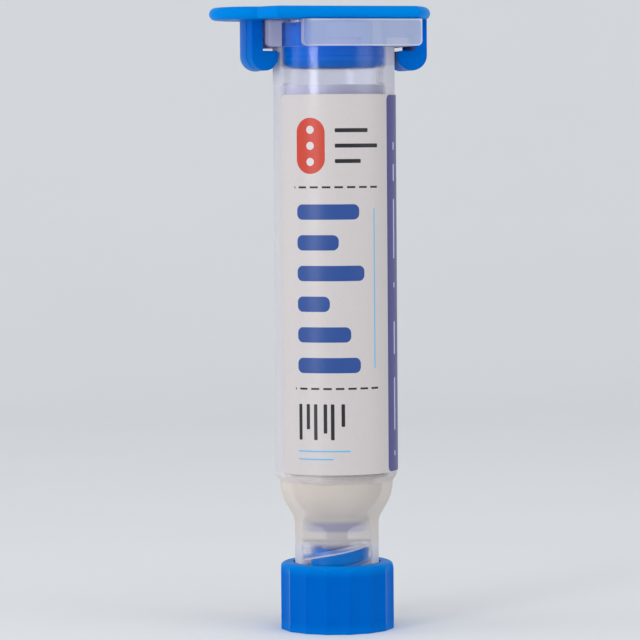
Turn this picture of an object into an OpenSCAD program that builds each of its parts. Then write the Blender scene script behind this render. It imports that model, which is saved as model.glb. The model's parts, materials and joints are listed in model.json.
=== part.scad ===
// Ten millilitre flux syringe, standing on its screw cap.
// The origin is on the barrel's axis, at the flat bottom of the tip cap. +Z points up to the end cap,
// and -X is the side that the end cap's thumb tab reaches out on.

/* [Barrel] */
// Outside diameter of the barrel's body
barrel_od = 18.5; // [17.5:0.1:21]
// Wall of the barrel's body
wall = 1.3; // [1.1:0.05:1.6]
// Height of the straight body, from its foot to the underside of the flange
body_h = 64.9; // [50:0.1:90]
// Height of the bevel at the body's foot
foot_bevel_h = 0.95; // [0.5:0.05:1.5]
// Width of the bevel at the body's foot
foot_bevel_w = 0.65; // [0.2:0.05:0.8]
// Distance from the axis to the centre of the shoulder's outside curve
shoulder_x = 1.1; // [0.2:0.1:1.8]
// Slope of the shoulder's cone from the axis, in degrees
shoulder_slope = 31; // [27:1:36]
// Radius of the hollow where the shoulder runs into the neck
neck_hollow_r = 3; // [1.5:0.1:3.5]
// Distance from the axis to the centre of the inside curve that leads the paste to the outlet
funnel_x = 0.95; // [0.55:0.05:1.45]
// Diameter at which that curve turns into the outlet's cone
funnel_floor_d = 6; // [4.5:0.1:7]
// Height of the outlet's cone
funnel_cone_h = 1.9; // [1:0.1:2.4]
// Bevel at the mouth of the bore
mouth_bevel = 0.4; // [0.2:0.05:0.6]

/* [Luer lock outlet] */
// Outside diameter of the threaded collar, which is also the neck
neck_od = 12.8; // [11.8:0.1:13.2]
// Diameter of the collar's bore, at the root of its thread
collar_bore_d = 8.2; // [8.1:0.1:9]
// Thickness of the barrel's floor above the collar
ceiling_t = 1.5; // [1:0.1:2]
// Length of the tapered tip
luer_len = 9.5; // [8.6:0.1:11]
// Diameter of the tip at its free end
luer_end_d = 3.96; // [3.9:0.01:4.05]
// How far the tip reaches past the collar
tip_proud = 2.1; // [1:0.1:3]
// Diameter of the passage through the tip
passage_d = 2.2; // [1.6:0.1:2.6]

/* [Flange] */
// Thickness of the flange's ears
flange_t = 4; // [3:0.1:5.5]
// How far each ear reaches past the barrel's wall
ear_out = 2.1; // [1.6:0.05:3]
// How far the long front and back faces stand proud of the barrel
face_out = 0.35; // [0.1:0.05:0.5]
// Distance from the axis to the notched side of each ear
ear_half = 4.65; // [4:0.05:5.5]
// Distance from the axis to the cut end of each long face
face_cut = 6.85; // [5.5:0.05:8]
// How far the round collar of the flange stands proud of the barrel
disc_out = 1; // [0.5:0.05:1.3]
// How much lower the top of the round collar is than the ears
disc_drop = 0.45; // [0.2:0.05:1]
// Rounding of the ear's free corner, over which the hook turns
ear_round = 0.8; // [0.3:0.05:1]
// Rounding of the flange's lower corners, seen from the front
low_round = 0.75; // [0.3:0.05:1]
// Depth of the two shallow recesses in each long face
recess_in = 0.15; // [0.05:0.05:0.3]
// Height of the recesses
recess_h = 1.05; // [0.5:0.05:2]
// Height of the recesses above the underside of the flange
recess_up = 0.15; // [0.1:0.05:0.5]
// Length of the recess near the middle of the face
recess_long = 4.9; // [2:0.1:6]
// Length of the recess on the ear
recess_short = 3.6; // [1:0.1:4]
// Distance from the axis to the middle of the long recess, along the face and away from the ear
recess_long_at = 0.65; // [0:0.05:2]
// Distance from the axis to the middle of the short recess, along the face
recess_short_at = 7.5; // [6:0.1:8]

/* [End cap] */
// Thickness of the plate, whose edge is fully rounded
plate_t = 1.9; // [1.4:0.1:3]
// How far the plate's long sides stand proud of the flange
plate_side = 0.2; // [0.1:0.05:1]
// How far the plate reaches past the hooks
plate_over = 0.52; // [0.3:0.02:1.5]
// How much further the plate reaches on the thumb tab's side
tab_out = 4.4; // [2:0.1:10]
// Width of the thumb tab
tab_w = 12.5; // [9:0.1:14]
// Width of each hook
hook_w = 8.3; // [5:0.1:9]
// Wall of each hook
hook_t = 1.85; // [1.4:0.05:2.2]
// Play between the ear's free corner and the hook's wall
hook_gap = 0.3; // [0.2:0.05:0.8]
// Play between the barrel and the hook's foot
lip_gap = 0.4; // [0.3:0.05:0.8]
// Play between the flange and the hook's ledge
snap_gap = 0.6; // [0.3:0.05:1]
// Depth of the two fine grooves that the mould leaves down each hook's outer face
groove_in = 0.1; // [0.05:0.01:0.2]
// Where each groove lies, in degrees from the middle of the hook
groove_at = 9.5; // [4:0.5:12]
// Width of each groove, in degrees
groove_turn = 1; // [0.5:0.1:2]
// Height of the straight part of the hook's foot, above its round underside
foot_flat = 0.7; // [0.6:0.05:2]
// Rounding of the ledge's edge
ledge_round = 0.5; // [0.2:0.05:0.55]
// Length of the plug below the plate
plug_h = 7.2; // [5:0.1:12]
// Wall of the plug
plug_wall = 1.5; // [1.3:0.1:2.5]
// Height of the bevel at the plug's lower edge
plug_bevel_h = 1; // [0.5:0.1:1.4]
// Width of the bevel at the plug's lower edge
plug_bevel_w = 0.8; // [0.4:0.05:1]
// Height of the plug's slimmer lead-in, bevel included
plug_lead_h = 1.7; // [1.5:0.1:3]
// How much slimmer the lead-in is, on the radius
plug_step = 0.15; // [0.05:0.05:0.2]

/* [Tip cap] */
// Wall of the skirt, at its ridges
skirt_t = 2.05; // [1.6:0.05:3]
// Height of the skirt
cap_h = 10.2; // [9.5:0.1:12]
// Thickness of the cap's flat bottom
cap_floor = 1.5; // [1:0.1:2]
// How far the bottom rim stands proud of the ridges
rim_out = 0.15; // [0.05:0.05:0.4]
// Height of the bottom rim
rim_h = 0.7; // [0.5:0.1:1.5]
// Bevel round the cap's flat bottom
rim_bevel = 0.3; // [0.1:0.05:0.4]
// Rounding of the skirt's upper edge
cap_round = 1; // [0.4:0.1:1.2]
// Radial play between the neck and the skirt
skirt_gap = 0.3; // [0.2:0.05:0.5]
// Number of flutes
flutes = 16; // [9:1:20]
// How far each flute is hollowed below the flat between its ridges
flute_sag = 0.15; // [0.05:0.05:0.5]
// Turn of the flutes about the axis, in degrees
flute_turn = 9.5; // [-18:0.5:18]
// How far the hub's mouth stands above the skirt
hub_rise = 2.1; // [1:0.1:2.4]
// Diameter of the hub at the root of its thread
hub_d = 6.6; // [6.4:0.1:7.2]
// How far the luer tip reaches into the hub
luer_grip = 8.3; // [7:0.1:8.4]

/* [Piston] */
// Height of the upper sealing lip
lip_top_h = 2.3; // [1:0.1:4]
// Height of the waist between the lips
waist_h = 4.4; // [2:0.1:8]
// Depth of the waist below the lips
waist_in = 0.65; // [0.3:0.05:0.9]
// Height of the lower sealing lip
lip_low_h = 1.5; // [0.8:0.1:3]
// Diameter of the piston's hollow
hollow_d = 11.6; // [8:0.1:12]
// Depth of the piston's hollow
hollow_h = 7.5; // [4:0.1:10]
// Gap between the piston and the end cap's plug
piston_gap = 2.6; // [0.5:0.1:20]

/* [Label] */
// Height of the label
label_h = 57.1; // [30:0.1:60]
// Thickness of the label's film
label_t = 0.15; // [0.1:0.01:0.3]
// Height of the label's lower edge above the body's foot
label_foot = 0.6; // [0.2:0.1:3]
// How far the label runs round the barrel, in degrees
label_arc = 285; // [120:1:330]
// Where the label begins, in degrees from +X
label_start = -162; // [-180:1:180]
// Rounding of the label's corners
label_round = 1.2; // [0.5:0.1:4]

/* [Fits] */
// Radial running clearance of the plug and the piston in the bore
run_gap = 0.05; // [0.02:0.01:0.1]
// Radial clearance of the luer tip in the hub's socket
luer_gap = 0.04; // [0.02:0.01:0.1]
// Clearance between the end cap's plate and the flange
plate_gap = 0.05; // [0.02:0.01:0.2]
// Film of glue between the label and the barrel
glue_gap = 0.02; // [0.01:0.01:0.1]
// How far the paste's rim stays below the piston's lower lip
paste_drop = 1.5; // [0.5:0.1:4]
// Gap between the paste and what holds it
paste_gap = 0.02; // [0.01:0.01:0.1]

/* [Hidden] */
$fn = 96;
cut = 1;
lap = 0.2;
luer_taper = 0.03;

barrel_r = barrel_od / 2;
bore_r = barrel_r - wall;
neck_r = neck_od / 2;
passage_r = passage_d / 2;
floor_r = funnel_floor_d / 2;
luer_end_r = luer_end_d / 2;
luer_root_r = luer_end_r + luer_taper * luer_len;

z_hub = cap_h + hub_rise;
z_tip = z_hub - luer_grip;
z_collar = z_tip + tip_proud;
z_ceiling = z_tip + luer_len;
z_passage = z_ceiling + ceiling_t;
z_funnel = z_passage + funnel_cone_h;
funnel_r = bore_r - funnel_x;
funnel_rise = sqrt(funnel_r * funnel_r - (floor_r - funnel_x) * (floor_r - funnel_x));
z_foot = z_funnel + funnel_rise;
z_shoulder = z_foot - foot_bevel_h;
z_flange = z_foot + body_h;
z_top = z_flange + flange_t;

spring_r = barrel_r - foot_bevel_w;
shoulder_r = spring_r - shoulder_x;
cone_top_r = shoulder_x + shoulder_r * cos(shoulder_slope);
z_cone_top = z_shoulder - shoulder_r * sin(shoulder_slope);
cone_low_r = neck_r + neck_hollow_r * (1 - cos(shoulder_slope));
z_cone_low = z_cone_top - (cone_top_r - cone_low_r) / tan(shoulder_slope);
z_neck = z_cone_low - neck_hollow_r * sin(shoulder_slope);

ear_x = barrel_r + ear_out;
face_y = barrel_r + face_out;
disc_r = barrel_r + disc_out;
ear_cx = ear_x - ear_round;
ear_cy = ear_half - ear_round;
ear_reach = sqrt(ear_cx * ear_cx + ear_cy * ear_cy) + ear_round;

hook_in = ear_reach + hook_gap;
hook_out = hook_in + hook_t;
hook_half = asin(hook_w / 2 / hook_out);
lip_in = barrel_r + lip_gap;
foot_r = (hook_out - lip_in) / 2;
z_ledge = z_flange - snap_gap;
z_foot_round = z_ledge - foot_flat;
z_plate = z_top + plate_gap;
edge_r = plate_t / 2;
plate_half = face_y + plate_side;
plate_end = hook_out + plate_over;
tab_r = tab_w / 2;
tab_x = plate_end + tab_out - tab_r;
plug_r = bore_r - run_gap;
z_plug = z_plate - plug_h;

skirt_in = neck_r + skirt_gap;
cap_r = skirt_in + skirt_t;
rim_r = cap_r + rim_out;
flute_half = cap_r * sin(180 / flutes);
flute_r = (flute_half * flute_half + flute_sag * flute_sag) / (2 * flute_sag);
flute_x = cap_r * cos(180 / flutes) - flute_sag + flute_r;
socket_mouth_r = luer_end_r + luer_taper * luer_grip + luer_gap;
socket_floor_r = socket_mouth_r - luer_taper * (z_hub - cap_floor);
socket_h = z_hub - cap_floor + cut;

seal_r = bore_r - run_gap;
waist_r = seal_r - waist_in;
z_piston = z_plug - piston_gap;
z_waist = z_piston - lip_top_h;
z_lip_low = z_waist - waist_h;
z_nose = z_lip_low - lip_low_h;
nose_r = funnel_r - run_gap;
nose_h = sqrt(nose_r * nose_r - (floor_r - funnel_x) * (floor_r - funnel_x));

// Half section of a flat disc with a fully rounded rim, at the plate's height
module plate_section(r) {
    translate([0, z_plate]) square([r - edge_r, plate_t]);
    translate([r - edge_r, z_plate + edge_r]) circle(edge_r);
}

// Bar of the plate's thickness with fully rounded long edges, running along X between two stations
module plate_bar(half, x0, x1) {
    translate([x0, 0, z_plate + edge_r]) rotate([90, 0, 90]) linear_extrude(x1 - x0) {
        square([2 * (half - edge_r), plate_t], center = true);
        for (s = [-1, 1])
            translate([s * (half - edge_r), 0]) circle(edge_r);
    }
}

// Outside of the shoulder: a convex curve, a short cone and the hollow that runs into the neck
module shoulder_section() {
    polygon([
        [0, z_shoulder],
        [spring_r, z_shoulder],
        [barrel_r, z_foot],
        [barrel_r, z_foot + lap],
        [0, z_foot + lap]
    ]);
    intersection() {
        translate([shoulder_x, z_shoulder]) circle(shoulder_r);
        translate([0, z_cone_top - lap]) square([spring_r, z_shoulder - z_cone_top + 2 * lap]);
    }
    polygon([[0, z_cone_low], [cone_low_r, z_cone_low], [cone_top_r, z_cone_top], [0, z_cone_top]]);
    difference() {
        translate([0, z_neck]) square([cone_low_r, z_cone_low - z_neck + lap]);
        translate([neck_r + neck_hollow_r, z_neck]) circle(neck_hollow_r);
    }
}

// Half section of the barrel as one solid, with its collar hollow and its tapered tip
module barrel_section() {
    translate([0, z_foot]) square([barrel_r, z_top - z_foot]);
    translate([0, z_flange]) square([disc_r, flange_t - disc_drop]);
    shoulder_section();
    translate([0, z_ceiling]) square([neck_r, z_neck - z_ceiling + lap]);
    translate([collar_bore_d / 2, z_collar])
        square([neck_r - collar_bore_d / 2, z_ceiling - z_collar + lap]);
    polygon([
        [0, z_tip],
        [luer_end_r, z_tip],
        [luer_root_r, z_ceiling],
        [luer_root_r, z_ceiling + lap],
        [0, z_ceiling + lap]
    ]);
}

// Half section of what the paste fills: the bore, the funnel and the passage, made slimmer by a gap
module bore_section(gap, z_low, z_high) {
    translate([0, z_foot]) square([bore_r - gap, z_high - z_foot]);
    intersection() {
        translate([funnel_x, z_foot]) circle(funnel_r - gap);
        translate([0, z_funnel - lap]) square([bore_r, z_foot - z_funnel + 2 * lap]);
    }
    polygon([
        [0, z_passage],
        [passage_r - gap, z_passage],
        [floor_r - gap, z_funnel],
        [0, z_funnel]
    ]);
    translate([0, z_low]) square([passage_r - gap, z_passage - z_low + lap]);
}

// The two shallow recesses in a long face
module face_recesses() {
    translate([-recess_long_at - recess_long / 2, -face_y - cut, z_flange + recess_up])
        cube([recess_long, recess_in + cut, recess_h]);
    translate([recess_short_at - recess_short / 2, -face_y - cut, z_flange + recess_up])
        cube([recess_short, recess_in + cut, recess_h]);
}

// One ear of the flange with the long face that runs on from it
module flange_ear() {
    intersection() {
        translate([0, 0, z_flange]) linear_extrude(flange_t) {
            translate([-face_cut, -face_y]) square([face_cut + ear_cx, face_y + ear_half]);
            translate([0, -face_y]) square([ear_x, face_y + ear_cy]);
            translate([ear_cx, ear_cy]) circle(ear_round);
        }
        translate([0, ear_half + cut, 0]) rotate([90, 0, 0]) linear_extrude(2 * ear_x + 2 * cut) {
            translate([-face_cut, z_flange + low_round])
                square([face_cut + ear_x, flange_t - low_round]);
            translate([low_round - face_cut, z_flange])
                square([face_cut + ear_x - 2 * low_round, low_round]);
            translate([low_round - face_cut, z_flange + low_round]) circle(low_round);
            translate([ear_x - low_round, z_flange + low_round]) circle(low_round);
        }
    }
}

// Barrel: body, shoulder, threaded collar, tapered tip and flange, moulded in one
module barrel() {
    color([0.80, 0.81, 0.85])
    difference() {
        union() {
            rotate_extrude() barrel_section();
            flange_ear();
            rotate([0, 0, 180]) flange_ear();
        }
        face_recesses();
        rotate([0, 0, 180]) face_recesses();
        rotate_extrude() {
            bore_section(0, z_tip - cut, z_top + cut);
            polygon([
                [0, z_top - mouth_bevel],
                [bore_r, z_top - mouth_bevel],
                [bore_r + mouth_bevel, z_top],
                [bore_r + mouth_bevel, z_top + cut],
                [0, z_top + cut]
            ]);
        }
    }
}

// Half section of a hook: its wall, and the foot that reaches in under the flange
module hook_section() {
    translate([hook_in, z_foot_round]) square([hook_t, z_plate + edge_r - z_foot_round]);
    translate([lip_in, z_foot_round]) square([hook_out - lip_in, foot_flat - ledge_round]);
    translate([lip_in + ledge_round, z_foot_round])
        square([hook_out - lip_in - ledge_round, foot_flat]);
    translate([lip_in + ledge_round, z_ledge - ledge_round]) circle(ledge_round);
    intersection() {
        translate([hook_out - foot_r, z_foot_round]) circle(foot_r);
        translate([lip_in, z_foot_round - foot_r]) square([2 * foot_r, foot_r]);
    }
}

// Half section of the groove that follows the hook's outer face down to the bottom of its foot
module groove_section() {
    translate([hook_out - groove_in, z_foot_round - lap])
        square([groove_in + cut, z_plate + edge_r - z_foot_round + lap]);
    translate([hook_out - foot_r, z_foot_round]) intersection() {
        difference() {
            circle(foot_r + cut);
            circle(foot_r - groove_in);
        }
        translate([0, -foot_r - cut]) square([foot_r + cut, foot_r + cut]);
    }
}

// One hook, from the plate down, with its two grooves
module hook() {
    difference() {
        rotate([0, 0, -hook_half]) rotate_extrude(angle = 2 * hook_half) hook_section();
        for (s = [-1, 1])
            rotate([0, 0, s * groove_at - groove_turn / 2])
                rotate_extrude(angle = groove_turn) groove_section();
    }
}

// Half section of the hollow plug, with its slimmer lead-in and its bevelled edge
module plug_section() {
    lead_r = plug_r - plug_step;
    polygon([
        [plug_r - plug_wall, z_plug],
        [lead_r - plug_bevel_w, z_plug],
        [lead_r, z_plug + plug_bevel_h],
        [lead_r, z_plug + plug_lead_h],
        [plug_r, z_plug + plug_lead_h],
        [plug_r, z_plate + edge_r],
        [plug_r - plug_wall, z_plate + edge_r]
    ]);
}

// End cap: plate, thumb tab, two hooks and plug, moulded in one
module end_cap() {
    color([0.02, 0.36, 0.76])
    union() {
        intersection() {
            rotate_extrude() plate_section(plate_end);
            plate_bar(plate_half, -plate_end - cut, plate_end + cut);
        }
        plate_bar(tab_r, -tab_x, 0);
        translate([-tab_x, 0, 0]) rotate([0, 0, 90]) rotate_extrude(angle = 180) plate_section(tab_r);
        for (side = [0, 180])
            rotate([0, 0, side]) hook();
        rotate_extrude() plug_section();
    }
}

// Half section of the cap's skirt and floor, without the hub
module skirt_section() {
    polygon([
        [0, 0],
        [rim_r - rim_bevel, 0],
        [rim_r, rim_bevel],
        [rim_r, rim_h],
        [0, rim_h]
    ]);
    translate([0, rim_bevel]) square([cap_r, cap_floor - rim_bevel]);
    translate([skirt_in, cap_floor]) square([cap_r - skirt_in, cap_h - cap_round - cap_floor]);
    translate([skirt_in, cap_floor]) square([cap_r - cap_round - skirt_in, cap_h - cap_floor]);
    translate([cap_r - cap_round, cap_h - cap_round]) circle(cap_round);
}

// Tip cap: fluted skirt, floor and the hub that seals on the tapered tip, moulded in one
module tip_cap() {
    color([0.02, 0.36, 0.76])
    difference() {
        union() {
            difference() {
                rotate_extrude() skirt_section();
                for (i = [0 : flutes - 1])
                    rotate([0, 0, flute_turn + i * 360 / flutes])
                        translate([flute_x, 0, -cut]) cylinder(h = cap_h + 2 * cut, r = flute_r);
            }
            translate([0, 0, cap_floor - lap]) cylinder(h = z_hub - cap_floor + lap, r = hub_d / 2);
        }
        translate([0, 0, cap_floor])
            cylinder(h = socket_h, r1 = socket_floor_r, r2 = socket_floor_r + luer_taper * socket_h);
    }
}

// Piston: hollow from above, with two sealing lips and a nose that fits the funnel
module piston() {
    color([0.86, 0.86, 0.90])
    rotate_extrude() difference() {
        union() {
            translate([0, z_waist]) square([seal_r, lip_top_h]);
            translate([0, z_lip_low - lap]) square([waist_r, waist_h + 2 * lap]);
            translate([0, z_nose]) square([seal_r, lip_low_h]);
            intersection() {
                translate([funnel_x, z_nose]) circle(nose_r);
                translate([0, z_nose - nose_h]) square([seal_r, nose_h + lap]);
            }
        }
        translate([0, z_piston - hollow_h]) square([hollow_d / 2, hollow_h + cut]);
    }
}

// Flux paste: fills the barrel from the piston's nose to the end of the tip
module flux() {
    color([0.82, 0.77, 0.67])
    rotate_extrude() difference() {
        bore_section(paste_gap, z_tip, z_nose - paste_drop);
        intersection() {
            translate([funnel_x, z_nose]) circle(nose_r + paste_gap);
            translate([-cut, z_nose - nose_h - paste_gap]) square([bore_r + cut, nose_h + cut]);
        }
    }
}

// What is left of a square corner outside its rounding, through the label's film. The rounding is a
// little larger than its centre is far from the edges, so that it crosses them.
module label_corner() {
    difference() {
        translate([0, -cut, -cut]) cube([barrel_r + cut, label_round + cut, label_round + cut]);
        translate([0, label_round, label_round])
            rotate([0, 90, 0]) cylinder(h = barrel_r + cut, r = label_round * 1.03);
    }
}

// Label: a film wrapped round the barrel, with rounded corners and its seam left open
module label() {
    z_label = z_foot + label_foot;
    color([0.94, 0.94, 0.95])
    rotate([0, 0, label_start]) difference() {
        rotate_extrude(angle = label_arc)
            translate([barrel_r + glue_gap, z_label]) square([label_t, label_h]);
        for (end = [0, 1], top = [0, 1])
            rotate([0, 0, end * label_arc])
                translate([0, 0, z_label + top * label_h])
                    mirror([0, end, 0]) mirror([0, 0, top]) label_corner();
    }
}

barrel();
end_cap();
tip_cap();
piston();
flux();
label();
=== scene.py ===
import json
from math import cos, pi, radians, sin, tau
import bpy
from mathutils import Matrix, Vector

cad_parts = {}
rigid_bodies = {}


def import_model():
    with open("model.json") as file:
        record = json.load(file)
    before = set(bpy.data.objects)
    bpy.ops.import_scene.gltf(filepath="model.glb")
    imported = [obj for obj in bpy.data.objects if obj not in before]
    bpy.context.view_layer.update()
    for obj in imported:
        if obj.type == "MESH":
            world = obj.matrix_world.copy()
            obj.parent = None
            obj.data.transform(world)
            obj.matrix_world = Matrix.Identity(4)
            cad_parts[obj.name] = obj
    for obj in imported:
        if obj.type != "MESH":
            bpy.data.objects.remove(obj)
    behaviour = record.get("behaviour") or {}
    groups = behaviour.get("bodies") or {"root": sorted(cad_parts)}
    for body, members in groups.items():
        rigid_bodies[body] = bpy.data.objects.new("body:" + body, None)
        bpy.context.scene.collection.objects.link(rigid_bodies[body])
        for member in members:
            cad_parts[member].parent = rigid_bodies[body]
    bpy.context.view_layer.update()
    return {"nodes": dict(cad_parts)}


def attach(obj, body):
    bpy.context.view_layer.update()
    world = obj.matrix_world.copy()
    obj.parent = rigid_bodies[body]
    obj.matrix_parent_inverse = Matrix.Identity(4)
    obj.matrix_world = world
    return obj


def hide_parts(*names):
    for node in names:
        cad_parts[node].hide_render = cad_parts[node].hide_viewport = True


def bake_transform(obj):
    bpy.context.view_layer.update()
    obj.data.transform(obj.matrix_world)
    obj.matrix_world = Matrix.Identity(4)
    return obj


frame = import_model()
bpy.ops.object.select_all(action="DESELECT")


# Barrel. One injection moulding of natural polypropylene: body, shoulder, threaded collar,
# tapered tip and flange. It is clear enough to show the blue plug and the paste, with a milky
# haze and a smooth, slightly uneven moulded skin.
def linear(code):
    """An sRGB hex colour as linear light."""
    parts = [int(code[i:i + 2], 16) / 255 for i in (1, 3, 5)]
    return [c / 12.92 if c <= 0.04045 else ((c + 0.055) / 1.055) ** 2.4 for c in parts] + [1.0]


def add_node(material, kind, links=(), **settings):
    """Adds a node: settings are its attributes, and links give (input, what it takes)."""
    tree = material.node_tree
    node = tree.nodes.new(kind)
    for name, value in settings.items():
        setattr(node, name, value)
    for name, value in links:
        socket = node.inputs[name]
        if isinstance(value, bpy.types.NodeSocket):
            tree.links.new(value, socket)
        else:
            socket.default_value = value
    return node


def new_material(name):
    """An empty material and its Object coordinates."""
    material = bpy.data.materials.new(name)
    material.use_nodes = True
    material.node_tree.nodes.remove(material.node_tree.nodes["Principled BSDF"])
    place = add_node(material, "ShaderNodeTexCoord").outputs["Object"]
    return material, place


def moulded(material, place, ripple_mm, relief, *under):
    """A moulded skin's faint unevenness, as a normal and a pattern, from a real wavelength in
    millimetres. It lies on the skin as it is, or on the Normal given as under."""
    noise = add_node(material, "ShaderNodeTexNoise", [
        ("Vector", place), ("Scale", 1000 / ripple_mm), ("Detail", 3.0), ("Roughness", 0.55)])
    bump = add_node(material, "ShaderNodeBump", [
        ("Height", noise.outputs["Fac"]), ("Distance", relief), ("Strength", 1.0), *under])
    return bump.outputs["Normal"], noise.outputs["Fac"]


def finish_material(material, shader, *owners):
    """Sends a shader to the material's output and paints these objects with the material."""
    out = material.node_tree.nodes["Material Output"]
    material.node_tree.links.new(shader, out.inputs["Surface"])
    for owner in owners:
        owner.data.materials.clear()
        owner.data.materials.append(material)


natural_pp, place = new_material("polypropylene, natural translucent")
normal, patches = moulded(natural_pp, place, 3.0, 0.000012)
split = add_node(natural_pp, "ShaderNodeSeparateXYZ", [("Vector", place)])
height = split.outputs["Z"]
depth = add_node(natural_pp, "ShaderNodeMath", [(0, split.outputs["Y"])],
                 operation="ABSOLUTE").outputs[0]
level = add_node(natural_pp, "ShaderNodeVectorMath", [(0, place), (1, (1, 1, 0))],
                 operation="MULTIPLY").outputs[0]
radius = add_node(natural_pp, "ShaderNodeVectorMath", [(0, level)],
                  operation="LENGTH").outputs["Value"]
# The skin's slant to the eye: 0 where it faces it, and 1 at the outline
slant = add_node(natural_pp, "ShaderNodeLayerWeight", [("Blend", 0.5)]).outputs["Facing"]
# A place along a long face is measured the same way on the front and, turned half round, the back
side = add_node(natural_pp, "ShaderNodeMath", [(0, split.outputs["Y"])],
                operation="SIGN").outputs[0]
along_face = add_node(natural_pp, "ShaderNodeMath", [(0, side), (1, split.outputs["X"])],
                      operation="MULTIPLY").outputs[0]
# Parts of the moulding, each 1 inside and 0 outside, with their limits in metres
parts = {}
for name, measure, test, limit in (
        ("flange", height, "GREATER_THAN", 0.0884),
        ("face", depth, "GREATER_THAN", 0.0094),
        ("recess", depth, "LESS_THAN", 0.0095),
        ("ear middle", depth, "LESS_THAN", 0.0047),
        ("ear end", radius, "GREATER_THAN", 0.0099),
        ("outer wall", radius, "GREATER_THAN", 0.0088),
        ("collar", height, "LESS_THAN", 0.0136),
        ("tip", radius, "LESS_THAN", 0.0026)):
    parts[name] = add_node(natural_pp, "ShaderNodeMath", [(0, measure), (1, limit)],
                           operation=test).outputs[0]
# Fades, each from 0 at the first place or slant to 1 at the second
for name, measure, first, second, course in (
        ("under bore", height, 0.0245, 0.0225, "SMOOTHSTEP"),
        ("over collar", height, 0.0125, 0.0142, "SMOOTHSTEP"),
        ("solid face", along_face, 0.0069, 0.0054, "SMOOTHSTEP"),
        ("over shade foot", height, 0.0150, 0.0156, "SMOOTHSTEP"),
        ("under shade head", height, 0.0172, 0.0164, "SMOOTHSTEP"),
        ("over piston", height, 0.0824, 0.0832, "LINEAR"),
        ("under plug", height, 0.0857, 0.0850, "LINEAR"),
        ("wall side", slant, 0.38, 0.54, "SMOOTHSTEP"),
        ("collar side", slant, 0.18, 0.42, "SMOOTHSTEP"),
        ("bare side", slant, 0.22, 0.36, "SMOOTHSTEP"),
        ("ahead", slant, 0.45, 0.10, "SMOOTHSTEP")):
    parts[name] = add_node(natural_pp, "ShaderNodeMapRange", [
        ("Value", measure), ("From Min", first), ("From Max", second)],
        interpolation_type=course).outputs[0]
# Parts that are where others meet
for name, *shares in (
        ("frosted", "face", "flange"),
        ("long face", "face", "flange", "solid face"),
        ("ear side", "ear middle", "ear end", "flange"),
        ("funnel", "under bore", "over collar"),
        # The shade band is where painted shade darkens the floor above the collar
        ("shade band", "over shade foot", "under shade head", "ahead"),
        ("collar wall", "collar", "collar side"),
        ("bare wall", "bare side", "over piston", "under plug", "outer wall")):
    met = parts[shares[0]]
    for share in shares[1:]:
        met = add_node(natural_pp, "ShaderNodeMath", [(0, met), (1, parts[share])],
                       operation="MULTIPLY").outputs[0]
    parts[name] = met
# How milky it is, most where the wall is seen edge on and where it is thick
cloud = 0.0
for name, amount in (
        ("wall side", 0.86), ("frosted", 0.3), ("long face", 0.62), ("funnel", 0.66), ("tip", 0.5),
        ("ear side", 0.6), ("collar wall", 0.3), ("bare wall", 0.72)):
    cloud = add_node(natural_pp, "ShaderNodeMath", [
        (0, parts[name]), (1, amount), (2, cloud)], operation="MULTIPLY_ADD").outputs[0]
cloud.node.use_clamp = True
rough = add_node(natural_pp, "ShaderNodeMapRange", [
    ("Value", patches), ("To Min", 0.08), ("To Max", 0.13)]).outputs[0]
for name, amount in (("frosted", 0.15), ("collar", 0.12)):
    rough = add_node(natural_pp, "ShaderNodeMath", [
        (0, parts[name]), (1, amount), (2, rough)], operation="MULTIPLY_ADD").outputs[0]
clear_skin = add_node(natural_pp, "ShaderNodeBsdfPrincipled", [
    ("Base Color", linear("#F2F2FA")), ("Roughness", rough), ("IOR", 1.49),
    ("Specular IOR Level", 0.16), ("Specular Tint", linear("#9496A0")),
    ("Transmission Weight", 1.0), ("Normal", normal)])
# How far a place on a long face lies past the flat field inside its rounded edge, where a
# painted highlight runs along that edge
face_middle, face_half, face_corner = (-0.00225, 0.09049, 0.0), (0.0091, 0.002), 0.00075
field_half = (face_half[0] - face_corner, face_half[1] - face_corner, 0.0)
past = add_node(natural_pp, "ShaderNodeCombineXYZ", [("X", along_face), ("Y", height)]).outputs[0]
for step, amount in (("SUBTRACT", face_middle), ("ABSOLUTE", (0, 0, 0)),
                     ("SUBTRACT", field_half), ("MAXIMUM", (0, 0, 0))):
    past = add_node(natural_pp, "ShaderNodeVectorMath", [(0, past), (1, amount)],
                    operation=step).outputs[0]
from_field = add_node(natural_pp, "ShaderNodeVectorMath", [(0, past)], operation="LENGTH")
edge = add_node(natural_pp, "ShaderNodeMapRange", [
    ("Value", from_field.outputs["Value"]), ("From Min", 0.00048), ("From Max", 0.00068)])
parts["face edge highlight"] = add_node(natural_pp, "ShaderNodeMath", [
    (0, edge.outputs[0]), (1, parts["solid face"])], operation="MULTIPLY").outputs[0]
# The milk's tints: lavender at the flange, painted light for the blue end cap's light scattered in
# it, with paler painted light in its recesses and a painted highlight along the long faces' edges;
# a cool band of painted shade in the floor above the collar, a darker painted shade at the tip, and
# warm where the paste glows through the shoulder
tints = {"flange": linear("#BDCBEA"), "body": linear("#E8E7EC")}
for where, name, amount, colour in (
        # Painted light in the flange's recesses, and a painted highlight along the long faces'
        # edges
        ("flange", "recess", 0.45, "#E6E9F6"), ("flange", "face edge highlight", 0.85, "#F4F5FC"),
        # Painted shade: a cool band in the floor above the collar, and a darker tint at the tip
        ("body", "funnel", 1.0, "#E8E2DC"), ("body", "shade band", 0.9, "#BBB9D2"),
        ("body", "tip", 1.0, "#A3A1BA")):
    share = add_node(natural_pp, "ShaderNodeMath", [(0, parts[name]), (1, amount)],
                     operation="MULTIPLY")
    tints[where] = add_node(natural_pp, "ShaderNodeMix", [
        ("Factor", share.outputs[0]), (6, tints[where]), (7, linear(colour))],
        data_type="RGBA").outputs[2]
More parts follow.
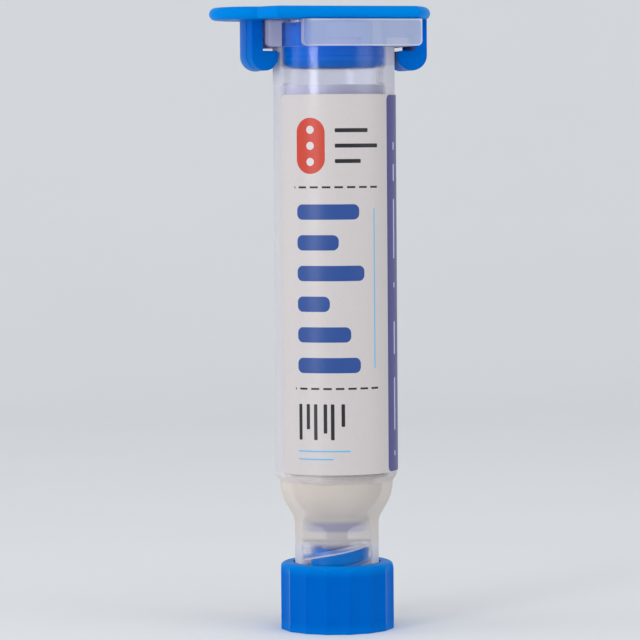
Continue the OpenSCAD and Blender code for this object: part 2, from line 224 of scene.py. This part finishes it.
# Painted light: the flange's faces that are not frosted take a lavender tint for the end cap's blue
# light
lavender = add_node(natural_pp, "ShaderNodeMix", [
    ("Factor", parts["frosted"]), (6, linear("#C2C0DC")), (7, tints["flange"])],
    data_type="RGBA")
tinted = add_node(natural_pp, "ShaderNodeMix", [
    ("Factor", parts["flange"]), (6, tints["body"]), (7, lavender.outputs[2])],
    data_type="RGBA")
facing = add_node(natural_pp, "ShaderNodeBsdfDiffuse", [
    ("Color", tinted.outputs[2]), ("Normal", normal)])
through = add_node(natural_pp, "ShaderNodeBsdfTranslucent", [
    ("Color", tinted.outputs[2]), ("Normal", normal)])
haze = add_node(natural_pp, "ShaderNodeMixShader", [
    ("Fac", 0.35), (1, facing.outputs[0]), (2, through.outputs[0])])
milk = add_node(natural_pp, "ShaderNodeMixShader", [
    ("Fac", cloud), (1, clear_skin.outputs["BSDF"]), (2, haze.outputs[0])])
# It casts only a faint shadow on what is inside it
lets_light = add_node(natural_pp, "ShaderNodeBsdfTransparent", [("Color", linear("#EDEEF4"))])
path = add_node(natural_pp, "ShaderNodeLightPath")
seen = add_node(natural_pp, "ShaderNodeMixShader", [
    ("Fac", path.outputs["Is Shadow Ray"]), (1, milk.outputs["Shader"]),
    (2, lets_light.outputs["BSDF"])])
finish_material(natural_pp, seen.outputs["Shader"], frame["nodes"]["barrel"])


# Collar thread. The two-start luer-lock thread, right-handed, moulded inside the collar in one
# with the barrel. Each start is a low ridge with a milky skin, tinted where the blue hub stands
# behind it, with a painted highlight, a pale line along its lower edge that rises to the right.
# photo_side is how many degrees round from +X the photograph's side is. There, the middle of one
# ridge is at the height ridge_front.
photo_side = 256
collar_wall, collar_crest, lead = 0.0041, 0.00345, 0.0054
ridge_low, ridge_front, ridge_turns = 0.0069, 0.01207, 1.11
root_half, crest_half, sunk = 0.00038, 0.00033, 0.00001
ridge_from = photo_side - 360 * (ridge_front - ridge_low) / lead


def screwed(name, inner, outer, foot, turns, steps, angle):
    """A helical ridge: inner and outer give its section's radii there, each with half a width."""
    bpy.ops.mesh.primitive_circle_add(
        vertices=4, radius=0.001, fill_type="NOTHING", rotation=(pi / 2, pi / 4, 0))
    ridge = bpy.context.object
    ridge.name = name
    bpy.ops.object.transform_apply(location=True, rotation=True, scale=True)
    for corner in ridge.data.vertices:
        reach, half = outer if corner.co.x > 0 else inner
        corner.co = (reach, 0, foot + (half if corner.co.z > 0 else -half))
    turn = ridge.modifiers.new("thread", "SCREW")
    turn.axis, turn.angle, turn.screw_offset = "Z", tau * turns, lead * turns
    turn.steps = turn.render_steps = steps
    turn.use_merge_vertices = False
    bpy.ops.object.modifier_apply(modifier=turn.name)
    ridge.data.transform(Matrix.Rotation(radians(angle), 4, "Z"))
    bpy.ops.object.mode_set(mode="EDIT")
    bpy.ops.mesh.select_all(action="SELECT")
    bpy.ops.mesh.fill_holes(sides=0)
    bpy.ops.mesh.normals_make_consistent(inside=False)
    bpy.ops.object.mode_set(mode="OBJECT")
    bpy.ops.object.shade_smooth_by_angle(angle=radians(35))
    return ridge


ridge_pp, place = new_material("polypropylene, natural, thread ridge")
normal, patches = moulded(ridge_pp, place, 0.5, 0.000004)
split = add_node(ridge_pp, "ShaderNodeSeparateXYZ", [("Vector", place)])
turned = add_node(ridge_pp, "ShaderNodeMath", [(0, split.outputs["Y"]), (1, split.outputs["X"])],
                  operation="ARCTAN2")
# How far up from a ridge's lower edge a point lies, as a share of the way to the next ridge
lower_edge = ridge_front - root_half - lead * (photo_side - 360) / 360
climb = add_node(ridge_pp, "ShaderNodeMath", [
    (0, turned.outputs[0]), (1, -lead / tau), (2, split.outputs["Z"])], operation="MULTIPLY_ADD")
climb = add_node(ridge_pp, "ShaderNodeMath", [(0, climb.outputs[0]), (1, lower_edge)],
                 operation="SUBTRACT")
climb = add_node(ridge_pp, "ShaderNodeMath", [(0, climb.outputs[0]), (1, 2 / lead)],
                 operation="MULTIPLY")
climb = add_node(ridge_pp, "ShaderNodeMath", [(0, climb.outputs[0])], operation="FRACT")
# Painted highlight: a pale line along each ridge's lower edge, kept out of the blue tint
above_highlight_line = add_node(ridge_pp, "ShaderNodeMath", [(0, climb.outputs[0]), (1, 0.08)],
                     operation="GREATER_THAN")
hub_behind = add_node(ridge_pp, "ShaderNodeMapRange", [
    ("Value", split.outputs["Z"]), ("From Min", 0.0129), ("From Max", 0.0121), ("To Max", 0.85)],
    interpolation_type="SMOOTHSTEP")
bluish = add_node(ridge_pp, "ShaderNodeMath", [
    (0, above_highlight_line.outputs[0]), (1, hub_behind.outputs[0])], operation="MULTIPLY")
pale = add_node(ridge_pp, "ShaderNodeMix", [
    ("Factor", patches), (6, linear("#ECEDF3")), (7, linear("#F6F6FA"))], data_type="RGBA")
pale = add_node(ridge_pp, "ShaderNodeMix", [
    ("Factor", bluish.outputs[0]), (6, pale.outputs[2]), (7, linear("#4A8AE0"))],
    data_type="RGBA")
ridge_skin = add_node(ridge_pp, "ShaderNodeBsdfPrincipled", [
    ("Base Color", pale.outputs[2]), ("Roughness", 0.3), ("IOR", 1.49), ("Normal", normal)])
glow = add_node(ridge_pp, "ShaderNodeBsdfTranslucent", [("Color", pale.outputs[2])])
ridge_milk = add_node(ridge_pp, "ShaderNodeMixShader", [
    ("Fac", 0.3), (1, ridge_skin.outputs["BSDF"]), (2, glow.outputs[0])])
for count in (1, 2):
    ridge = screwed(
        f"collar_ridge_{count}", (collar_crest, crest_half), (collar_wall + sunk, root_half),
        ridge_low, ridge_turns, 120, ridge_from + 180 * (count - 1))
    finish_material(ridge_pp, ridge_milk.outputs[0], ridge)
    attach(ridge, "barrel")
    bpy.ops.object.select_all(action="DESELECT")


# End cap. One injection moulding of blue polypropylene, pushed on over the flange. A satin
# moulded skin, with painted light in its thin edges, where some light goes through.
blue_pp, place = new_material("polypropylene, moulded blue")
soft_edge = add_node(blue_pp, "ShaderNodeBevel", [("Radius", 0.00025)], samples=4)
normal, patches = moulded(blue_pp, place, 0.9, 0.000006, ("Normal", soft_edge.outputs["Normal"]))
rough = add_node(blue_pp, "ShaderNodeMapRange", [
    ("Value", patches), ("To Min", 0.26), ("To Max", 0.40)])
drift = add_node(blue_pp, "ShaderNodeTexNoise", [
    ("Vector", place), ("Scale", 1000 / 9.0), ("Detail", 1.0)])
blues = add_node(blue_pp, "ShaderNodeMix", [
    ("Factor", drift.outputs["Fac"]), (6, linear("#0060C0")), (7, linear("#0068CA"))],
    data_type="RGBA").outputs[2]
split = add_node(blue_pp, "ShaderNodeSeparateXYZ", [("Vector", place)])
# Heights between which painted light makes the edges paler
edges = {}
for name, first, second in (
        ("plate", 0.0922, 0.0928), ("under plate", 0.0892, 0.0862),
        ("skirt head", 0.0083, 0.0103), ("skirt foot", 0.0018, 0.0)):
    edges[name] = add_node(blue_pp, "ShaderNodeMapRange", [
        ("Value", split.outputs["Z"]), ("From Min", first), ("From Max", second)],
        interpolation_type="SMOOTHSTEP").outputs[0]
on_tip_cap = add_node(blue_pp, "ShaderNodeMath", [(0, split.outputs["Z"]), (1, 0.012)],
                      operation="LESS_THAN").outputs[0]
skirt_head = add_node(blue_pp, "ShaderNodeMath", [
    (0, edges["skirt head"]), (1, on_tip_cap)], operation="MULTIPLY").outputs[0]
# Painted light: how much each band is brightened; the share under the plate is taken back on the
# tip cap
painted_light = 0.0
for edge, amount in (
        (edges["plate"], 1.0), (skirt_head, 0.8), (edges["skirt foot"], 0.4),
        (edges["under plate"], 0.22), (on_tip_cap, -0.22)):
    painted_light = add_node(blue_pp, "ShaderNodeMath", [(0, edge), (1, amount), (2, painted_light)],
                       operation="MULTIPLY_ADD").outputs[0]
blues = add_node(blue_pp, "ShaderNodeMix", [
    ("Factor", painted_light), (6, blues), (7, linear("#0084DC"))], data_type="RGBA").outputs[2]
# A painted sheen: the tip cap's flutes have a pale line along their outer edges where these
# turn from the eye
level = add_node(blue_pp, "ShaderNodeVectorMath", [(0, place), (1, (1, 1, 0))],
                 operation="MULTIPLY")
reach = add_node(blue_pp, "ShaderNodeVectorMath", [(0, level.outputs[0])], operation="LENGTH")
painted_sheen = add_node(blue_pp, "ShaderNodeMapRange", [
    ("Value", reach.outputs["Value"]), ("From Min", 0.00867), ("From Max", 0.00873)])
above_rim = add_node(blue_pp, "ShaderNodeMath", [(0, split.outputs["Z"]), (1, 0.001)],
                     operation="GREATER_THAN")
slant = add_node(blue_pp, "ShaderNodeLayerWeight", [("Blend", 0.5)])
turned_off = add_node(blue_pp, "ShaderNodeMapRange", [
    ("Value", slant.outputs["Facing"]), ("From Min", 0.5), ("From Max", 0.75), ("To Max", 0.7)])
for share in (on_tip_cap, above_rim.outputs[0], turned_off.outputs[0]):
    painted_sheen = add_node(blue_pp, "ShaderNodeMath", [(0, painted_sheen.outputs[0]), (1, share)],
                         operation="MULTIPLY")
blues = add_node(blue_pp, "ShaderNodeMix", [
    ("Factor", painted_sheen.outputs[0]), (6, blues), (7, linear("#7DB6F0"))],
    data_type="RGBA").outputs[2]
blue_skin = add_node(blue_pp, "ShaderNodeBsdfPrincipled", [
    ("Base Color", blues), ("Roughness", rough.outputs["Result"]), ("IOR", 1.49),
    ("Specular IOR Level", 0.02), ("Specular Tint", linear("#4FA8FF")),
    ("Subsurface Weight", 0.2), ("Subsurface Radius", (0.0001, 0.0006, 0.0018)),
    ("Subsurface Scale", 1.0), ("Normal", normal)])
finish_material(blue_pp, blue_skin.outputs["BSDF"], frame["nodes"]["end_cap"])


# Tip cap. One injection moulding of the same blue polypropylene, screwed into the collar. Its
# hub carries two helical lugs, a third of a turn each, that press on the collar's wall and show
# through it as blue bands.
finish_material(blue_pp, blue_skin.outputs["BSDF"], frame["nodes"]["tip_cap"])
hub_wall, lug_crest, lug_sunk = 0.0033, 0.00411, 0.0002
lug_root_half, lug_crest_half = 0.00097, 0.00093
lug_front, lug_turns, degrees_before = 0.01072, 0.345, 54
lug_low = lug_front - lead * degrees_before / 360
for count in (1, 2):
    lug = screwed(
        f"hub_lug_{count}", (hub_wall - lug_sunk, lug_root_half), (lug_crest, lug_crest_half),
        lug_low, lug_turns, 64, photo_side - degrees_before + 180 * (count - 1))
    finish_material(blue_pp, blue_skin.outputs["BSDF"], lug)
    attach(lug, "tip_cap")
    bpy.ops.object.select_all(action="DESELECT")


# Piston. A hollow wiper with two lips, moulded of natural polyethylene, waxy and a cool white,
# pushed in on top of the paste.
piston_pe, place = new_material("polyethylene, natural")
normal, patches = moulded(piston_pe, place, 2.0, 0.00001)
rough = add_node(piston_pe, "ShaderNodeMapRange", [
    ("Value", patches), ("To Min", 0.38), ("To Max", 0.5)])
waxy = add_node(piston_pe, "ShaderNodeBsdfPrincipled", [
    ("Base Color", linear("#B4B3C0")), ("Roughness", rough.outputs["Result"]), ("IOR", 1.51),
    ("Subsurface Weight", 0.3), ("Subsurface Radius", (0.001, 0.001, 0.0012)),
    ("Subsurface Scale", 1.0), ("Normal", normal)])
finish_material(piston_pe, waxy.outputs["BSDF"], frame["nodes"]["piston"])


# Flux paste. A pale amber rosin paste that fills the barrel from the piston's nose to the end
# of the tip. It is cut at the funnel's floor into the column above and the rest, in the outlet,
# which rides with the barrel.
paste, place = new_material("rosin flux paste")
clouds = add_node(paste, "ShaderNodeTexNoise", [
    ("Vector", place), ("Scale", 1000 / 5.0), ("Detail", 4.0), ("Roughness", 0.6)])
creams = add_node(paste, "ShaderNodeMix", [
    ("Factor", clouds.outputs["Fac"]), (6, linear("#D6CBB6")), (7, linear("#E6DFD0"))],
    data_type="RGBA")
# Painted shade: it is darker and cooler where it is thin, from the funnel's end down
split = add_node(paste, "ShaderNodeSeparateXYZ", [("Vector", place)])
outlet_shade = add_node(paste, "ShaderNodeMapRange", [
    ("Value", split.outputs["Z"]), ("From Min", 0.0176), ("From Max", 0.0160)],
    interpolation_type="SMOOTHSTEP")
creams = add_node(paste, "ShaderNodeMix", [
    ("Factor", outlet_shade.outputs["Result"]), (6, creams.outputs[2]), (7, linear("#8A88A4"))],
    data_type="RGBA")
lumps = add_node(paste, "ShaderNodeBump", [
    ("Height", clouds.outputs["Fac"]), ("Distance", 0.00003), ("Strength", 1.0)])
creamy = add_node(paste, "ShaderNodeBsdfPrincipled", [
    ("Base Color", creams.outputs[2]), ("Roughness", 0.35), ("IOR", 1.5),
    ("Subsurface Weight", 0.4), ("Subsurface Radius", (0.002, 0.0016, 0.001)),
    ("Subsurface Scale", 1.0), ("Normal", lumps.outputs["Normal"])])
funnel_floor, bore_foot, nose_low = 0.0169, 0.0236, 0.0678
rim_high, rim_inside, rim_r, drawn_r = 0.073, 0.00785, 0.00793, 0.0078
for name, keep_above in (("paste_column", True), ("paste_outlet", False)):
    fill = frame["nodes"]["flux"].copy()
    fill.data = frame["nodes"]["flux"].data.copy()
    fill.name = name
    bpy.context.scene.collection.objects.link(fill)
    fill.hide_viewport = fill.hide_render = False
    fill.hide_set(False)
    fill.select_set(True)
    bpy.context.view_layer.objects.active = fill
    bpy.ops.object.parent_clear(type="CLEAR_KEEP_TRANSFORM")
    bpy.ops.object.mode_set(mode="EDIT")
    bpy.ops.mesh.select_all(action="SELECT")
    bpy.ops.mesh.remove_doubles(threshold=1e-7)
    bpy.ops.mesh.select_all(action="SELECT")
    bpy.ops.mesh.bisect(
        plane_co=(0, 0, funnel_floor), plane_no=(0, 0, 1), use_fill=True,
        clear_inner=keep_above, clear_outer=not keep_above)
    bpy.ops.mesh.select_all(action="DESELECT")
    bpy.ops.object.mode_set(mode="OBJECT")
    if keep_above:
        # The top's outer edge is drawn in a little
        for corner in fill.data.vertices:
            corner.select = corner.co.z > rim_high and corner.co.xy.length > rim_inside
        bpy.ops.object.mode_set(mode="EDIT")
        bpy.ops.transform.resize(
            value=(drawn_r / rim_r, drawn_r / rim_r, 1), center_override=(0, 0, rim_high))
        bpy.ops.object.mode_set(mode="OBJECT")
    bpy.ops.object.shade_smooth_by_angle(angle=radians(40))
    finish_material(paste, creamy.outputs["BSDF"], fill)
    if keep_above:
        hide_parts("flux")
        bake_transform(fill)
    else:
        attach(fill, "barrel")
    bpy.ops.object.select_all(action="DESELECT")


# Label. A white satin film, printed flat and wrapped round the barrel. Its print is plain bars,
# lines and fields, placed in millimetres: along the film from the print's middle, and up from
# the bench.
film_r, film_thick, print_middle = 9.42, 0.15, radians(photo_side - 360)
film, place = new_material("polypropylene film, white, printed")
split = add_node(film, "ShaderNodeSeparateXYZ", [("Vector", place)])
turned = add_node(film, "ShaderNodeMath", [(0, split.outputs["Y"]), (1, split.outputs["X"])],
                  operation="ARCTAN2")
along = add_node(film, "ShaderNodeMath", [
    (0, turned.outputs[0]), (1, film_r), (2, -print_middle * film_r)], operation="MULTIPLY_ADD")
up = add_node(film, "ShaderNodeMath", [(0, split.outputs["Z"]), (1, 1000.0)], operation="MULTIPLY")
spot = add_node(film, "ShaderNodeCombineXYZ", [
    ("X", along.outputs[0]), ("Y", up.outputs[0])]).outputs["Vector"]


def mark(u, v, wide, high, corner):
    """Where a round-cornered field is printed: 1 inside it and 0 outside."""
    off = add_node(film, "ShaderNodeVectorMath", [(0, spot), (1, (u, v, 0))], operation="SUBTRACT")
    size = add_node(film, "ShaderNodeVectorMath", [(0, off.outputs[0])], operation="ABSOLUTE")
    past = add_node(film, "ShaderNodeVectorMath", [
        (0, size.outputs[0]), (1, (wide / 2 - corner, high / 2 - corner, 1))], operation="SUBTRACT")
    out = add_node(film, "ShaderNodeVectorMath", [(0, past.outputs[0]), (1, (0, 0, 0))],
                   operation="MAXIMUM")
    far = add_node(film, "ShaderNodeVectorMath", [(0, out.outputs[0])], operation="LENGTH")
    return add_node(film, "ShaderNodeMath", [(0, far.outputs["Value"]), (1, corner)],
                    operation="LESS_THAN").outputs[0]


fibre = add_node(film, "ShaderNodeTexNoise", [
    ("Vector", place), ("Scale", 1000 / 0.5), ("Detail", 2.0)])
colour = add_node(film, "ShaderNodeMix", [
    ("Factor", fibre.outputs["Fac"]), (6, linear("#CBC5C5")), (7, linear("#D1CBCB"))],
    data_type="RGBA").outputs[2]
violet, pale_violet, red, white = "#505088", "#C9C9E2", "#C9402F", "#D6D1D1"
black, blue, sky, bare = "#2A2A2E", "#2D4F94", "#6BB7E6", "#CEC8C8"
# The side panel, and the fine dashes on it. Each later ink lies over those before it
prints = [(mark(16.6, 52.75, 14.4, 56.9, 0.8), violet)]
for v, high in ((27.0, 0.8), (34.5, 8.0), (44.5, 5.0), (52.5, 0.8), (61.0, 9.0), (69.5, 2.6),
                (73.5, 1.2)):
    prints.append((mark(11.7, v, 0.45, high, 0.2), pale_violet))
# A red lozenge with three white dots, and three narrow bars beside it
lozenge_u, lozenge_v, dots_apart = -3.7, 73.6, 2.4
prints.append((mark(lozenge_u, lozenge_v, 4.6, 8.4, 2.29), red))
for step in (-1, 0, 1):
    prints.append((mark(lozenge_u, lozenge_v + step * dots_apart, 1.2, 1.2, 0.59), white))
for v, wide in ((75.9, 5.2), (73.6, 7.0), (71.3, 4.0)):
    prints.append((mark(0.1 + wide / 2, v, wide, 0.6, 0.14), black))
# Two dashed rules, and a stack of broad bars between them with a thin rule down its right side
left_edge, dash_pitch, dash_share = -6.0, 1.9, 0.68
count = add_node(film, "ShaderNodeMath", [(0, along.outputs[0]), (1, 1 / dash_pitch)],
                 operation="MULTIPLY")
within = add_node(film, "ShaderNodeMath", [(0, count.outputs[0])], operation="FRACT")
dash = add_node(film, "ShaderNodeMath", [(0, within.outputs[0]), (1, dash_share)],
                operation="LESS_THAN")
for v in (67.4, 37.2):
    dashed = add_node(film, "ShaderNodeMath", [
        (0, mark(0.3, v, 13.6, 0.3, 0.05)), (1, dash.outputs[0])], operation="MULTIPLY")
    prints.append((dashed.outputs[0], black))
for v, wide in ((63.7, 9.8), (59.1, 6.6), (54.5, 10.6), (49.9, 5.2), (45.3, 8.4), (40.7, 9.9)):
    prints.append((mark(left_edge + wide / 2, v, wide, 2.3, 0.9), blue))
prints.append((mark(6.4, 52.2, 0.22, 24.0, 0.1), sky))
# A short block of narrow bars under the lower rule, and thin rules under that
block_top = 34.9
for u, high in ((-5.6, 5.4), (-4.3, 3.8), (-3.1, 5.4), (-1.6, 4.4), (-0.5, 5.4), (1.1, 3.4)):
    prints.append((mark(u, block_top - high / 2, 0.55, high, 0.14), black))
for v, wide in ((27.8, 8.2), (26.6, 5.6)):
    prints.append((mark(left_edge + wide / 2, v, wide, 0.22, 0.1), sky))
# The film's inner face is not printed
level = add_node(film, "ShaderNodeVectorMath", [(0, place), (1, (1, 1, 0))],
                 operation="MULTIPLY")
reach = add_node(film, "ShaderNodeVectorMath", [(0, level.outputs[0])], operation="LENGTH")
inner_face = add_node(film, "ShaderNodeMath", [
    (0, reach.outputs["Value"]), (1, (film_r - film_thick / 3) / 1000)], operation="LESS_THAN")
prints.append((inner_face.outputs[0], bare))
for where, ink in prints:
    colour = add_node(film, "ShaderNodeMix", [
        ("Factor", where), (6, colour), (7, linear(ink))], data_type="RGBA").outputs[2]
satin = add_node(film, "ShaderNodeMapRange", [
    ("Value", fibre.outputs["Fac"]), ("To Min", 0.32), ("To Max", 0.44)])
press = add_node(film, "ShaderNodeBump", [
    ("Height", fibre.outputs["Fac"]), ("Distance", 0.000003), ("Strength", 1.0)])
printed = add_node(film, "ShaderNodeBsdfPrincipled", [
    ("Base Color", colour), ("Roughness", satin.outputs["Result"]), ("IOR", 1.49),
    ("Specular IOR Level", 0.25), ("Normal", press.outputs["Normal"])])
finish_material(film, printed.outputs["BSDF"], frame["nodes"]["label"])


# The floor and the sweep behind it, of pale matt card, bent up in one curve, and the air round
# them. The card is turned to face the camera.
back_edge, back_high, bend_r = 0.8, 1.6, 0.5
bpy.ops.mesh.primitive_plane_add(size=2.4, location=(0, -0.3, 0))
sweep = bpy.context.object
sweep.name = "sweep"
bpy.ops.object.transform_apply(location=True, rotation=True, scale=True)
bpy.ops.object.mode_set(mode="EDIT")
bpy.ops.mesh.select_all(action="DESELECT")
bpy.ops.mesh.select_mode(type="EDGE")
bpy.ops.object.mode_set(mode="OBJECT")
for edge in sweep.data.edges:
    edge.select = all(sweep.data.vertices[i].co.y > back_edge for i in edge.vertices)
bpy.ops.object.mode_set(mode="EDIT")
bpy.ops.mesh.extrude_region_move(TRANSFORM_OT_translate={"value": (0, 0, back_high)})
bpy.ops.object.mode_set(mode="OBJECT")
for edge in sweep.data.edges:
    ends = [sweep.data.vertices[i].co for i in edge.vertices]
    edge.select = all(abs(end.z) < 1e-6 and end.y > back_edge for end in ends)
bpy.ops.object.mode_set(mode="EDIT")
bpy.ops.mesh.bevel(offset=bend_r, segments=24)
bpy.ops.object.mode_set(mode="OBJECT")
bpy.ops.object.shade_smooth()
sweep.data.transform(Matrix.Rotation(radians(photo_side - 270), 4, "Z"))
card, place = new_material("card, pale matt")
grain = add_node(card, "ShaderNodeTexNoise", [("Vector", place), ("Scale", 1000 / 60.0)])
greys = add_node(card, "ShaderNodeMix", [
    ("Factor", grain.outputs["Fac"]), (6, linear("#EEF0F2")), (7, linear("#F1F3F5"))],
    data_type="RGBA")
matt = add_node(card, "ShaderNodeBsdfPrincipled", [
    ("Base Color", greys.outputs[2]), ("Roughness", 0.9), ("Specular IOR Level", 0.1)])
finish_material(card, matt.outputs["BSDF"], sweep)
bpy.ops.object.select_all(action="DESELECT")
world = bpy.data.worlds.new("air")
bpy.context.scene.world = world
world.use_nodes = True
world.node_tree.nodes["Background"].inputs["Color"].default_value = linear("#EDEFF2")
world.node_tree.nodes["Background"].inputs["Strength"].default_value = 0.66


# Light. A narrow soft box to the camera's left, with a second one behind it that gives only
# gloss, a broad fill on each side, and one overhead.
body_middle = Vector((0, 0, 0.05))
for name, azimuth, distance, height, wide, high, watts in (
        ("left box", photo_side - 38, 0.75, 0.13, 0.2, 0.35, 1.75),
        ("left glint", photo_side - 38, 0.76, 0.13, 0.2, 0.35, 0.9),
        ("left fill", photo_side - 85, 0.8, 0.2, 0.4, 0.6, 1.15),
        ("right fill", photo_side + 62, 0.85, 0.22, 0.5, 0.6, 1.6),
        ("top box", photo_side, 0.25, 0.75, 0.7, 0.5, 1.0)):
    bpy.ops.object.light_add(type="AREA", location=(
        distance * cos(radians(azimuth)), distance * sin(radians(azimuth)), height))
    box = bpy.context.object
    box.name = name
    box.data.shape, box.data.size, box.data.size_y = "RECTANGLE", wide, high
    box.data.energy = watts
    box.visible_diffuse = box.visible_transmission = name != "left glint"
    aim = body_middle - box.location
    box.rotation_euler = aim.to_track_quat("-Z", "Y").to_euler()


# Camera. It stands 0.52 m off and 73 mm up, 14 degrees round from the flange's long face to the
# thumb tab's side, with a long lens, and it leans by under half a degree.
stand, eye, round_by = 0.517, 0.0734, radians(270 - photo_side)
to_left, down, lean = radians(0.259), radians(2.913), radians(-0.42)
lens = bpy.data.cameras.new("photo camera")
lens.sensor_width, lens.lens, lens.clip_start, lens.clip_end = 36, 191.1, 0.01, 20
camera = bpy.data.objects.new("photo camera", lens)
bpy.context.scene.collection.objects.link(camera)
camera.matrix_world = (
    Matrix.Translation((-stand * sin(round_by), -stand * cos(round_by), eye))
    @ Matrix.Rotation(to_left - round_by, 4, "Z")
    @ Matrix.Rotation(radians(90) - down, 4, "X")
    @ Matrix.Rotation(lean, 4, "Z"))
bpy.context.scene.camera = camera
bpy.context.scene.view_settings.view_transform = "Standard"
